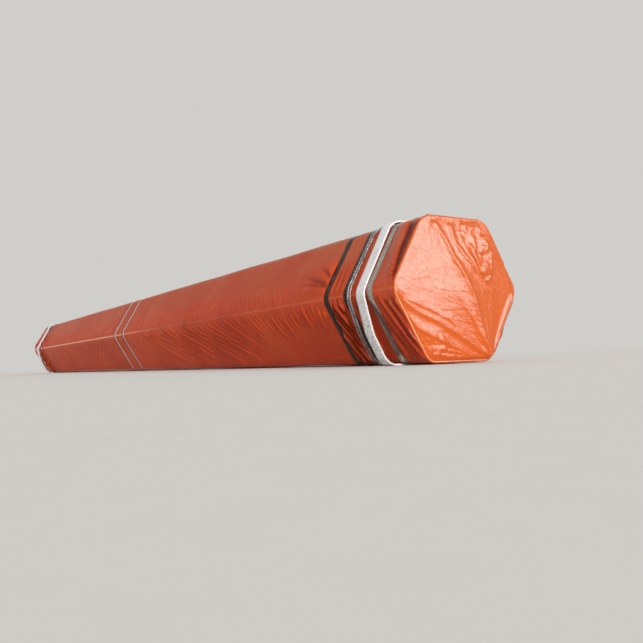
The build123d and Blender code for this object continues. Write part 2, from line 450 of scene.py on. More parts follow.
def face_folds(y, z, gap, seed):
    """Folds of the sheet over the pipe ends, for points across the face: two heights outward.

    The first is that of its large panels, the second that of its creases.
    """
    crumple_size, fine_size = 0.045, 0.02
    front_foot, foot_height, foot_size = (-0.12, -0.215), 0.012, 0.035  # crumpled by its lower front corner
    edge = np.maximum(gap, 0)
    panels = 0
    for line, rise in panel_rises:
        away, place = along_line(y, z, line)
        panels += rise * (0.2 + 0.8 * smooth_step(0, 0.4, place)) * edge / (edge + away + 0.02)
    points = np.column_stack([y, z, 0 * y])
    crumple = np.abs(waviness(points, crumple_size, seed))
    fine = np.abs(waviness(points, fine_size, seed + 1))
    creases = sum(crease(y, z, line, width, rise, 0.04, fade) for line, width, rise, fade in face_creases)
    creases += crumpled_lobe(y, z, crumple, fine)
    from_foot = np.hypot(y - front_foot[0], z - front_foot[1])
    creases += foot_height * fine * np.exp(-from_foot / foot_size)
    return panels, creases


# Sheet: the mesh
overlap_place = 0.15  # free edge of the sheet, from the start of the flat that it lies on
near_dense, far_dense = 0.61, 0.46  # stretches by the two ends where the mesh keeps all its rows
ties_end = 0.46  # length from an end that holds its straps, sling and ropes


def section_point(u):
    """The taut sheet's section at a length u round it, clockwise from the -Y ridge: (y, z), (ny, nz)."""
    run = (u + corner_run / 2) % girth
    side = np.floor(run / side_step)
    rest = run - side * side_step
    angle = pi - side * pi / 3
    bent = np.clip(rest, 0, corner_run) / sheet_reach
    normal_angle = angle + pi / 6 - bent
    straight = np.clip(rest - corner_run, 0, None)
    ny, nz = np.cos(normal_angle), np.sin(normal_angle)
    y = ring * np.cos(angle) + ny * sheet_reach + straight * np.sin(normal_angle)
    z = centre_z + ring * np.sin(angle) + nz * sheet_reach - straight * np.cos(normal_angle)
    return y, z, ny, nz


def sheet_rows():
    """Lengths round the sheet at which its mesh has rows, close together on the front flanks.

    Every second one is left out of the long middle run. The free edge is the last row, and one
    row lies just under it.
    """
    front_cells, rear_cells, first_cells = 20, 10, 3
    corner_cells, last_cells = 5, 7
    free_edge = 2 * side_step + corner_run / 2 + overlap_place
    first, under = free_edge - girth - sheet_overlap, free_edge - girth
    stops = [(first, 0), (under, corner_cells)]
    for side in flanks:
        flat_start, flat_end = side * side_step + corner_run / 2, (side + 1) * side_step - corner_run / 2
        if flat_start > under:
            stops.append((flat_start, corner_cells))
        if side == flanks[-1]:
            stops.append((free_edge, last_cells))
        elif flat_end > under:
            cells = {flanks[0]: first_cells, -1: front_cells, 0: front_cells}.get(side, rear_cells)
            stops.append((flat_end, cells))
    rows = [first]
    for (low, _), (high, cells) in zip(stops, stops[1:]):
        rows += list(np.linspace(low, high, 2 * cells + 1)[1:])
    return np.array(rows), under, free_edge


def sheet_columns():
    """Places along the bundle at which the sheet's mesh has columns, close together at the ends."""
    coarse_end, near_stretch = 0.2, 1.3
    flat_end = sheet_end - end_edge
    spans = [
        (-flat_end, -flat_end + far_dense, 0.0085),
        (-flat_end + far_dense, coarse_end, 0.023),
        (coarse_end, flat_end - near_stretch, 0.0145),
        (flat_end - near_stretch, flat_end - near_dense, 0.0085),
        (flat_end - near_dense, flat_end - ties_end, 0.006),
        (flat_end - ties_end, flat_end, 0.005),
    ]
    columns = []
    for low, high, step in spans:
        columns += list(np.linspace(low, high, max(2, round((high - low) / step)), endpoint=False))
    return np.array(columns + [flat_end])


def sheet_grid():
    """Points (u, x) of the sheet's sides, how far its end edges sink, and the overlap's two places."""
    rows, under, free_edge = sheet_rows()
    flat_columns = sheet_columns()
    turn = np.array([0.25, 0.5, 0.75, 1.0]) * pi / 2
    out, down = end_edge * (1 - np.sin(turn)), end_edge * (1 - np.cos(turn))
    columns = np.concatenate([-sheet_end + out[::-1], flat_columns, sheet_end - out])
    sunk = np.concatenate([down[::-1], 0 * flat_columns, down])
    u, x = np.meshgrid(rows, columns)
    return u, x, np.repeat(sunk[:, None], len(rows), axis=1), under, free_edge


def sheet_heights(u, x, y, z, nz, under, free_edge):
    """How far the sheet's sides stand off their taut form, and the attributes that its material reads."""
    calm_share = 0.25  # of the folds' height, on the far half's long run
    uneven_height, uneven_size, uneven_stretch = 0.0022, 0.16, 0.45
    crumple_height, crumple_size, crumple_width = 0.01, 0.02, 0.03
    most_height, most_below = 0.02, 0.0035  # the underside lies close to the floor
    lap_slope, lap_height, lap_free_height = 0.05, 0.0001, 0.0018
    tuck_slope, tuck_depth = 0.03, 0.0008

    from_end = sheet_end - np.abs(x)
    free = clear_of_ties(from_end, x)
    count, size = flank_folds(from_end, u, 5)
    size *= free * np.where((x > 0) | (from_end < third_strap_place), 1, calm_share)
    size *= smooth_step(0.0, 0.012, from_end)
    pucker, pucker_crease_shade = puckers(from_end, u)
    crest = 1 - np.abs(2 * (count % 1) - 1)
    rim, pocket_shade = end_rims(from_end, u, free_edge)
    height = size * crest * 0.8 + pucker + rim
    # the sheet is never quite flat
    flat_points = np.column_stack([x.ravel() * uneven_stretch, y.ravel(), z.ravel()])
    height += uneven_height * (0.8 + waviness(flat_points, uneven_size, 1).reshape(x.shape))
    # and it is crumpled round the corners of its ends
    close = from_end < 0.12
    corner_gap = np.abs((u + side_step / 2) % side_step - side_step / 2)
    crumple = np.zeros_like(u)
    crumple[close] = np.abs(waviness(np.column_stack([x[close], y[close], z[close]]), crumple_size, 2))
    crumple *= np.exp(-corner_gap / crumple_width) * (1 - smooth_step(0.03, 0.1, from_end))
    height += crumple_height * crumple
    height *= free * smooth_step(-0.001, 0.006, from_end)
    height = np.minimum(height, np.where(nz < -0.7, most_below, most_height))
    # the two layers of the overlap
    outer = smooth_step(free_edge - sheet_overlap - lap_slope, free_edge - sheet_overlap, u)
    inner = 1 - smooth_step(under, under + tuck_slope, u)
    height = height * (1 - inner) + outer * (lap_height + lap_free_height * free) - inner * tuck_depth

    above = np.minimum(u, 3 * side_step - u)
    # Dust, with a painted sheen: upward sides paler and greyer away from the ridges, less on the folds,
    # which are partly rubbed clean and partly turned from the sheen
    rubbed = np.clip((size + pucker) / 0.006, 0, 1)
    dust = smooth_step(0.1, 0.9, nz) * (0.2 + 0.8 * smooth_step(0.02, 0.22, above)) * (1 - 0.8 * rubbed)
    # painted shade: the valleys of the gathered folds, the pockets by the rims and the puckers' creases are
    # painted darker
    gathered = (from_end < third_strap_place) * np.clip(size / 0.012, 0, 1) * (1 - crest) ** 1.5
    grime = np.maximum(0.8 * gathered, pocket_shade) + pucker_crease_shade
    return height, {"fold_count": count, "fold_size": size / 0.01, "dust": dust, "grime": grime}


def grid_faces(columns, size):
    """Quads between columns of so many points, with every second row left out of the long middle run."""
    flat_end = sheet_end - end_edge
    dense = (columns > flat_end - near_dense - 0.001) | (columns < far_dense + 0.001 - flat_end)
    faces = []
    for i in range(len(columns) - 1):
        a, b = i * size, (i + 1) * size
        if dense[i] and dense[i + 1]:
            faces += [(a + j, b + j, b + j + 1, a + j + 1) for j in range(size - 1)]
            continue
        for j in range(0, size - 1, 2):
            right = [b + j, b + j + 1, b + j + 2] if dense[i + 1] else [b + j, b + j + 2]
            left = [a + j + 2, a + j + 1, a + j] if dense[i] else [a + j + 2, a + j]
            faces.append(tuple(left[-1:] + right + left[:-1]))
    return faces


def sheet_mesh():
    """Vertices, faces, UVs and attributes of the sheet, and how many of its faces are on its sides."""
    near_spacing, far_spacing = 0.0056, 0.0075
    highlight_from, highlight_to = 0.0015, 0.003  # how far down the end edges the painted highlight runs
    u, x, sink, under, free_edge = sheet_grid()
    y, z, ny, nz = section_point(u)
    height, attributes = sheet_heights(u, x, y, z, nz, under, free_edge)
    # a painted highlight along the rounded end edges, stronger where they face sideways or down
    attributes["wear"] = (sink > highlight_from) * (sink < highlight_to) * (0.5 + 0.9 * (nz < 0.1))
    y, z = y + ny * (height - sink), z + nz * (height - sink)

    count_x, count_u = x.shape
    vertices = np.column_stack([x.ravel(), y.ravel(), z.ravel()]).tolist()
    uvs = np.column_stack([u.ravel(), x.ravel()]).tolist()
    faces = grid_faces(x[:, 0], count_u)
    attributes = {name: values.ravel().tolist() for name, values in attributes.items()}
    first, side_faces = int(np.argmin(np.abs(u[0] - under))), len(faces)
    for column, direction, spacing, seed in [(count_x - 1, 1, near_spacing, 21), (0, -1, far_spacing, 34)]:
        rim = [column * count_u + j for j in range(first, count_u)]
        add_face(vertices, faces, uvs, rim, direction, spacing, seed)
    for values in attributes.values():
        values += [0.0] * (len(vertices) - len(values))
    return *without_loose(vertices, faces, uvs, attributes), side_faces


def without_loose(vertices, faces, uvs, attributes):
    """The same mesh without the points that no face uses."""
    used = sorted({v for face in faces for v in face})
    place = {v: k for k, v in enumerate(used)}
    faces = [tuple(place[v] for v in face) for face in faces]
    attributes = {name: [values[v] for v in used] for name, values in attributes.items()}
    return [vertices[v] for v in used], faces, [uvs[v] for v in used], attributes


def gap_to_edge(y, z):
    """How far points across the face lie inside the sheet's outline."""
    flats = [np.abs(y * cos(a) + z * sin(a)) for a in (pi / 6, pi / 2, 5 * pi / 6)]
    gap = ring * cos(pi / 6) + sheet_reach - np.max(flats, axis=0)
    turned = (np.arctan2(z, y) + pi / 6) % (pi / 3) - pi / 6  # angle from the nearest corner
    size = np.hypot(y, z)
    out, across = size * np.cos(turned) - ring, size * np.sin(turned)
    in_corner = np.abs(across) < out * np.tan(pi / 6)
    return np.where(in_corner, sheet_reach - np.hypot(out, across), gap)


def points_on_creases(direction, spacing):
    """Points about one spacing apart along each crease of an end's face, as a list for each."""
    lines = []
    for line, *_ in face_creases:
        points = []
        for (y, z), end in zip(line, line[1:]):
            run_y, run_z = end[0] - y, end[1] - z
            steps = max(1, round(hypot(run_y, run_z) / spacing))
            points += [(direction * (y + run_y * k / steps), z + run_z * k / steps) for k in range(steps)]
        lines.append(points)
    return lines


def points_between(lines, spacing):
    """A triangular grid of points over the face, which keeps clear of its edge and its creases."""
    on_creases = np.array([point for line in lines for point in line])
    rise = spacing * cos(pi / 6)
    steps = int((ring + sheet_reach) / rise) + 1
    points = []
    for row in range(-steps, steps + 1):
        across = (np.arange(-2 * steps, 2 * steps + 1) + 0.5 * (row % 2)) * spacing
        inside = gap_to_edge(across, np.full_like(across, row * rise)) > end_edge + spacing * 0.6
        for y in across[inside]:
            if np.min(np.hypot(on_creases[:, 0] - y, on_creases[:, 1] - row * rise)) > spacing * 0.55:
                points.append(Vector((y, row * rise)))
    return points


def add_face(vertices, faces, uvs, rim, direction, spacing, seed):
    """Fills the end of the sheet with small triangles, with edges along its creases, and folds it."""
    crease_start, soft_start = 0.012, 0.03  # how far in from the edge they have their full height
    soft_height, soft_size = 0.002, 0.09
    points = [Vector((vertices[v][1], vertices[v][2] - centre_z)) for v in rim]
    edges = [(k, (k + 1) % len(rim)) for k in range(len(rim))]
    lines = points_on_creases(direction, spacing)
    for line in lines:
        edges += [(k, k + 1) for k in range(len(points), len(points) + len(line) - 1)]
        points += [Vector(point) for point in line]
    found = delaunay_2d_cdt(points + points_between(lines, spacing), edges, [], 1, 1e-7)
    places, triangles, origins = found[0], found[2], found[3]
    y, z = np.array([p.x for p in places]), np.array([p.y for p in places])
    gap = gap_to_edge(y, z)
    panels, creases = face_folds(direction * y, z, gap, seed)
    height = panels + creases * smooth_step(0.5 * end_edge, crease_start, gap)
    soft = waviness(np.column_stack([y, z, 0 * y + seed]), soft_size, seed)
    height += soft_height * soft * smooth_step(end_edge, soft_start, gap)
    index = []
    for k, place in enumerate(places):
        rims = [source for source in origins[k] if source < len(rim)]
        if rims:
            index.append(rim[rims[0]])
            continue
        index.append(len(vertices))
        vertices.append([direction * (sheet_end + height[k]), place.x, centre_z + place.y])
        uvs.append([place.x, direction * sheet_end + place.y])
    for triangle in triangles:
        a, b, c = (index[v] for v in triangle)
        faces.append((a, b, c) if direction > 0 else (a, c, b))


def make_sheet():
    vertices, faces, uvs, attributes, side_faces = sheet_mesh()
    sheet = new_mesh_object("wrap_sheet", vertices, faces, uvs)
    layer = sheet.data.uv_layers["surface"].data
    for face in sheet.data.polygons[side_faces:]:
        for loop, vertex in zip(face.loop_indices, face.vertices):
            x, y, z = sheet.data.vertices[vertex].co
            layer[loop].uv = (y, x + z)
    for name, values in attributes.items():
        attribute = sheet.data.attributes.new(name, "FLOAT", "POINT")
        attribute.data.foreach_set("value", np.array(values, dtype=np.float32))
    finish_piece(sheet, materials["sheet"], "woven_sheet", "wrap")


# Straps

def strap_path():
    """A strap's inner face: round the bundle, with its two ends up ramps and lapped in the seal."""
    held_top = centre_z + ring * cos(pi / 6) + held_reach
    low = held_top + seal_wall + seal_gap
    high = low + strap_thickness + seal_gap
    low_end = -seal_length / 2 - strap_clear
    high_end = strap_lap / 2 + strap_clear
    under = [(strap_lap / 2, low), (low_end, low), (low_end - strap_ramp, held_top)]
    over = [(high_end + strap_ramp, held_top), (high_end, high), (-strap_lap / 2, high)]
    corners = [corner(k, held_reach) for k in (2, 3, 4, 5, 6, 7)]
    points = [Vector(p) for p in under] + corners + [Vector(p) for p in over]
    radii = [0] * len(under) + [held_reach] * len(corners) + [0] * len(over)
    return rounded_path(points, radii, 0.011, False)


def bite_width(place):
    """How much of a strap's width the seal's bites leave at a place across the bundle."""
    half = bite_narrow + max(0, abs(place) - bite_half) * bite_slope
    return min(half, strap_width / 2) / (strap_width / 2)


def strap_parts(x, path):
    """One strap: a flat strip, a little crowned, that bends with the sheet under it."""
    crown = 0.00012
    half, thick = strap_width / 2, strap_thickness
    section = [(half, 0), (half, thick), (half * 0.5, thick + crown), (0, thick + crown * 1.3),
               (-half * 0.5, thick + crown), (-half, thick), (-half, 0), (0, 0)]
    held_top = centre_z + ring * cos(pi / 6) + held_reach
    widths = [bite_width(place.x) if place.y > held_top + seal_gap else 1.0 for place, _ in path]
    return swept(path, section, x, False, widths)


def smooth_flat_runs(piece):
    """Smooth shading, with the strip's long edges kept sharp."""
    sharp_angle = radians(35)
    mesh = bmesh.new()
    mesh.from_mesh(piece.data)
    for face in mesh.faces:
        face.smooth = True
    for edge in mesh.edges:
        if len(edge.link_faces) == 2 and edge.calc_face_angle() > sharp_angle:
            edge.smooth = False
    mesh.to_mesh(piece.data)
    mesh.free()


def make_straps():
    half = pipe_length / 2
    straps = [
        ("outer", half - outer_strap_place, "zinc strip"),
        ("second", half - second_strap_place, "dark reflection strip"),
        ("third", half - third_strap_place, "dark reflection strip"),
        ("middle", middle_strap_offset, "glinting edge strip"),
    ]
    path = strap_path()
    for which, x, finish in straps:
        parts = joined([strap_parts(-x, path), strap_parts(x, path)])
        piece = new_mesh_object(f"{which}_strap_strips", *parts, smooth=False)
        smooth_flat_runs(piece)
        finish_piece(piece, materials[finish], "strap_steel", f"{which}_straps")
        dress_node(f"{which}_strap_seals", materials["seal"])


# Slings

def webbing_section(width, thickness, lift):
    """Half-round edges joined by flats, as (along x, outward) points."""
    radius = thickness / 2
    flat = width / 2 - radius
    angles = np.linspace(-pi / 2, pi / 2, 6)
    edge = [(flat + radius * cos(a), lift + radius + radius * sin(a)) for a in angles]
    top = [(flat * share, lift + thickness) for share in (0.5, 0, -0.5)]
    other = [(-px, thickness + 2 * lift - py) for px, py in edge]
    under = [(-px, lift) for px, py in top]
    return edge + top + other + under


def make_slings():
    """Each sling is a closed loop, slack off the lower flank, with a sewn ply on its upper rear side."""
    foot = corner(4, held_reach)
    bends = [
        (corner(1, held_reach), held_reach),
        (corner(2, held_reach + sling_lift), held_reach + sling_lift),
        (corner(3, held_reach), held_reach),
        (off_flank(held_reach, 0.5, sling_slack), sling_belly_radius),
        (Vector((foot.x - sling_foot, foot.y)), sling_foot_radius),
        (corner(5, held_reach), held_reach),
        (corner(6, held_reach), held_reach),
    ]
    points, radii = zip(*bends)
    path = rounded_path(points, radii, 0.006, True)
    start, end = points[0], points[1]
    along = (end - start).normalized()
    middle = (start + end) / 2
    steps = 32
    run = [middle + along * sling_joint_length * (k / steps - 0.5) for k in range(steps + 1)]
    loop_section = webbing_section(sling_width, sling_thickness, 0)
    ply_section = webbing_section(sling_width - 0.001, sling_joint_thickness, sling_thickness - 0.0002)
    for number, x in ((1, sling_place - pipe_length / 2), (2, pipe_length / 2 - sling_place)):
        loop = swept(path, loop_section, x, True)
        ply = swept([(place, along) for place in run], ply_section, x, False)
        piece = new_mesh_object(f"webbing_sling_{number}", *joined([loop, ply]))
        finish_piece(piece, materials["webbing"], "webbing", f"sling_{number}")
        make_stitches(f"sling_{number}_stitches", x, middle, along)


# Nodes

def fill(tree, node, inputs):
    """Fills a node's inputs with values, with sockets, or with the first output of other nodes."""
    for name, value in inputs.items():
        if isinstance(value, bpy.types.Node):
            value = next(socket for socket in value.outputs if socket.enabled)
        if isinstance(value, bpy.types.NodeSocket):
            tree.links.new(value, node.inputs[name])
        else:
            node.inputs[name].default_value = value


def add(tree, kind, inputs=None, **settings):
    """Adds a node with its settings and its inputs."""
    node = tree.nodes.new(kind)
    for name, value in settings.items():
        setattr(node, name, value)
    fill(tree, node, inputs or {})
    return node


def new_tree(name, sizes):
    """A geometry tree with a Geometry input and output, and one named number for each size."""
    tree = bpy.data.node_groups.new(name, "GeometryNodeTree")
    tree.interface.new_socket("Geometry", in_out="INPUT", socket_type="NodeSocketGeometry")
    for size in sizes:
        tree.interface.new_socket(size, in_out="INPUT", socket_type="NodeSocketFloat")
    tree.interface.new_socket("Geometry", in_out="OUTPUT", socket_type="NodeSocketGeometry")
    return tree, tree.nodes.new("NodeGroupInput").outputs


def end_tree(tree, geometry, material):
    """Ends a geometry tree: what it made becomes plain geometry of that material."""
    real = add(tree, "GeometryNodeRealizeInstances", {"Geometry": geometry})
    dressed = add(tree, "GeometryNodeSetMaterial", {"Geometry": real, "Material": material})
    add(tree, "NodeGroupOutput", {"Geometry": dressed})
    return tree


def applied(source, tree, sizes, name):
    """The plain mesh that a geometry tree makes of an object, which is then removed."""
    modifier = source.modifiers.new("shape", "NODES")
    modifier.node_group = tree
    inputs = [item for item in tree.interface.items_tree if item.in_out == "INPUT"]
    identifiers = {item.name: item.identifier for item in inputs}
    for size, value in sizes.items():
        modifier[identifiers[size]] = value
    bpy.context.view_layer.update()
    evaluated = source.evaluated_get(bpy.context.evaluated_depsgraph_get())
    mesh = bpy.data.meshes.new_from_object(evaluated)
    bpy.data.objects.remove(source)
    mesh.name = name
    piece = bpy.data.objects.new(name, mesh)
    bpy.context.scene.collection.objects.link(piece)
    return piece


# Wire ropes

def strand_tree(material):
    """Twists strands round a closed path that lies across the pipes."""
    tree, given = new_tree("rope strands", ["Strands", "Lay", "Strand radius", "Step"])
    even = add(tree, "GeometryNodeResampleCurve", {"Curve": given["Geometry"], "Length": given["Step"]},
               mode="LENGTH")
    copies = add(tree, "GeometryNodeDuplicateElements", {"Geometry": even, "Amount": given["Strands"]},
                 domain="SPLINE")
    # the turn of a strand: a whole number of lays along the path, and a share of one for each copy
    turns = add(tree, "ShaderNodeMath", {0: add(tree, "GeometryNodeSplineLength"), 1: given["Lay"]},
                operation="DIVIDE")
    whole = add(tree, "ShaderNodeMath", {0: turns}, operation="ROUND")
    twist = add(tree, "ShaderNodeMath", {0: whole, 1: add(tree, "GeometryNodeSplineParameter")},
                operation="MULTIPLY")
    phase = add(tree, "ShaderNodeMath", {0: copies.outputs["Duplicate Index"], 1: given["Strands"]},
                operation="DIVIDE")
    part = add(tree, "ShaderNodeMath", {0: twist, 1: phase}, operation="ADD")
    angle = add(tree, "ShaderNodeMath", {0: part, 1: 2 * pi}, operation="MULTIPLY")
    # the way from the rope's middle to the strand's, in the plane of X and the path's side
    tangent = add(tree, "GeometryNodeInputTangent")
    side = add(tree, "ShaderNodeVectorMath", {0: tangent, 1: (1, 0, 0)}, operation="CROSS_PRODUCT")
    sine = add(tree, "ShaderNodeMath", {0: angle}, operation="SINE")
    cosine = add(tree, "ShaderNodeMath", {0: angle}, operation="COSINE")
    out = add(tree, "ShaderNodeVectorMath", {0: side, "Scale": sine}, operation="SCALE")
    along = add(tree, "ShaderNodeVectorMath", {0: (1, 0, 0), "Scale": cosine}, operation="SCALE")
    both = add(tree, "ShaderNodeVectorMath", {0: out, 1: along}, operation="ADD")
    radius = add(tree, "ShaderNodeMath", {0: given["Strand radius"], 1: 2.0}, operation="MULTIPLY")
    offset = add(tree, "ShaderNodeVectorMath", {0: both, "Scale": radius}, operation="SCALE")
    # the material reads the rope's middle, to find the grooves between the strands
    kept = add(tree, "GeometryNodeStoreNamedAttribute",
               {"Geometry": copies, "Name": "rope_middle", "Value": add(tree, "GeometryNodeInputPosition")},
               data_type="FLOAT_VECTOR")
    moved = add(tree, "GeometryNodeSetPosition", {"Geometry": kept, "Offset": offset})
    profile = add(tree, "GeometryNodeCurvePrimitiveCircle",
                  {"Resolution": 5, "Radius": given["Strand radius"]})
    wire = add(tree, "GeometryNodeCurveToMesh", {"Curve": moved, "Profile Curve": profile})
    shaded = add(tree, "GeometryNodeSetShadeSmooth", {"Geometry": wire})
    return end_tree(tree, shaded, material)


def make_ropes():
    """Each rope is a closed loop, slack off the lower flank, with strands that touch round an empty middle.
    """
    foot = corner(4, rope_reach)
    tight = rope_reach - rope_tighter
    bends = [
        (corner(1, rope_reach, rope_off), rope_corner_radius),
        (corner(2, rope_reach, rope_off), rope_corner_radius),
        (corner(3, rope_reach, rope_off), rope_corner_radius),
        (off_flank(rope_reach, 0.5, rope_slack), rope_belly_radius),
        (Vector((foot.x - rope_foot, foot.y)), rope_foot_radius),
        (corner(5, rope_reach), tight),
        (corner(6, rope_reach, rope_off), rope_corner_radius - rope_tighter),
    ]
    path = rounded_path(*zip(*bends), 0.01, True)
    tree = strand_tree(materials["rope"])
    sizes = {"Strands": rope_strands, "Lay": rope_lay,
             "Strand radius": rope_diameter / 6, "Step": rope_lay / 9}
    half = pipe_length / 2
    for which, x in (("outer", half - outer_rope_place), ("inner", half - inner_rope_place)):
        curve = bpy.data.curves.new(f"{which}_rope_line", "CURVE")
        curve.dimensions = "3D"
        for place in (-x, x):
            spline = curve.splines.new("POLY")
            spline.points.add(len(path) - 1)
            spline.use_cyclic_u = True
            for point, (p, _) in zip(spline.points, path):
                point.co = (place, p.x, p.y, 1)
        source = bpy.data.objects.new(f"{which}_rope_line", curve)
        bpy.context.scene.collection.objects.link(source)
        piece = applied(source, tree, sizes, f"{which}_rope_strands")
        finish_piece(piece, materials["rope"], "rope_steel", f"{which}_wire_ropes")
        dress_node(f"{which}_rope_ferrules", materials["ferrule"])


# Stitches of the slings

def stitch_tree(material):
    """Puts a short thread on each point, turned as the point's attribute says."""
    tree, given = new_tree("stitches", ["Length", "Thickness"])
    size = add(tree, "ShaderNodeCombineXYZ",
               {"X": given["Thickness"], "Y": given["Length"], "Z": given["Thickness"]})
    ball = add(tree, "GeometryNodeMeshIcoSphere", {"Radius": 0.5, "Subdivisions": 1})
    turn = add(tree, "GeometryNodeInputNamedAttribute", {"Name": "turn"}, data_type="FLOAT_VECTOR")
    placed = add(tree, "GeometryNodeInstanceOnPoints",
                 {"Points": given["Geometry"], "Instance": ball, "Rotation": turn, "Scale": size})
    return end_tree(tree, placed, material)


def make_stitches(name, x, middle, along):
    """Four rows of stitches along the sewn joint of a sling, and one across it at each end."""
    thread_length, thread_thickness = 0.0038, 0.0011
    rows, stitch_step = (-0.019, -0.0063, 0.0063, 0.019), 0.0045
    cross_start, cross_step, cross_count = -0.0195, 0.0043, 10
    half = sling_joint_length / 2 - 0.008  # the rows stop short of the joint's ends
    up = Vector((along.y, -along.x)) * (sling_thickness + sling_joint_thickness)
    slope = atan2(along.y, along.x)
    points, turns = [], []
    for row in rows:
        for k in range(int(2 * half / stitch_step)):
            place = middle + along * (k * stitch_step - half) + up
            points.append((x + row, place.x, place.y))
            turns.append((slope, 0, 0))
    for end in (-half, half):
        for k in range(cross_count):
            place = middle + along * end + up
            points.append((x + cross_start + k * cross_step, place.x, place.y))
            turns.append((slope, 0, pi / 2))
    source = new_mesh_object(f"{name}_places", points, [])
    turn = source.data.attributes.new("turn", "FLOAT_VECTOR", "POINT")
    turn.data.foreach_set("vector", np.array(turns, dtype=np.float32).ravel())
    sizes = {"Length": thread_length, "Thickness": thread_thickness}
    piece = applied(source, stitch_tree(materials["thread"]), sizes, name)
    finish_piece(piece, materials["thread"], "webbing")


# Materials: the sizes of their patterns are in metres, as the object's are

eased = {"interpolation_type": "SMOOTHSTEP"}


def colour(code):
    """A linear colour from an sRGB hex value."""
    values = [int(code[k:k + 2], 16) / 255 for k in (1, 3, 5)]
    linear = [v / 12.92 if v <= 0.04045 else ((v + 0.055) / 1.055) ** 2.4 for v in values]
    return (*linear, 1.0)


def new_material(name, constants):
    """A material with those constants on its shader: it, its tree, its shader, and the place of a point."""
    material = bpy.data.materials.new(name)
    material.use_nodes = True
    tree = material.node_tree
    shader = tree.nodes["Principled BSDF"]
    fill(tree, shader, constants)
    return material, tree, shader, add(tree, "ShaderNodeTexCoord").outputs["Object"]


def tinted(tree, base, tint, pattern, low, high, least=0.0, most=1.0, mask=None):
    """The base colour, turned to the tint by the least share where a pattern is low, and by the most
    where it is high, but only as far as the mask lets it.
    """
    share = add(tree, "ShaderNodeMapRange",
                {"Value": pattern, "From Min": low, "From Max": high, "To Min": least, "To Max": most},
                **eased)
    if mask is not None:
        share = add(tree, "ShaderNodeMath", {0: mask, 1: share}, operation="MULTIPLY")
    mixed = add(tree, "ShaderNodeMix", {0: share, 6: base, 7: colour(tint)}, data_type="RGBA")
    return mixed.outputs[2]


def woven(tree, surface, across, along):
    """The relief of a weave whose threads are that far apart across the piece and along it."""
    threads = [add(tree, "ShaderNodeTexWave", {"Vector": surface, "Scale": pi / (10 * spacing)},
                   bands_direction=direction).outputs["Fac"]
               for direction, spacing in (("X", across), ("Y", along))]
    return add(tree, "ShaderNodeMath", {0: threads[0], 1: threads[1]}, operation="MULTIPLY")


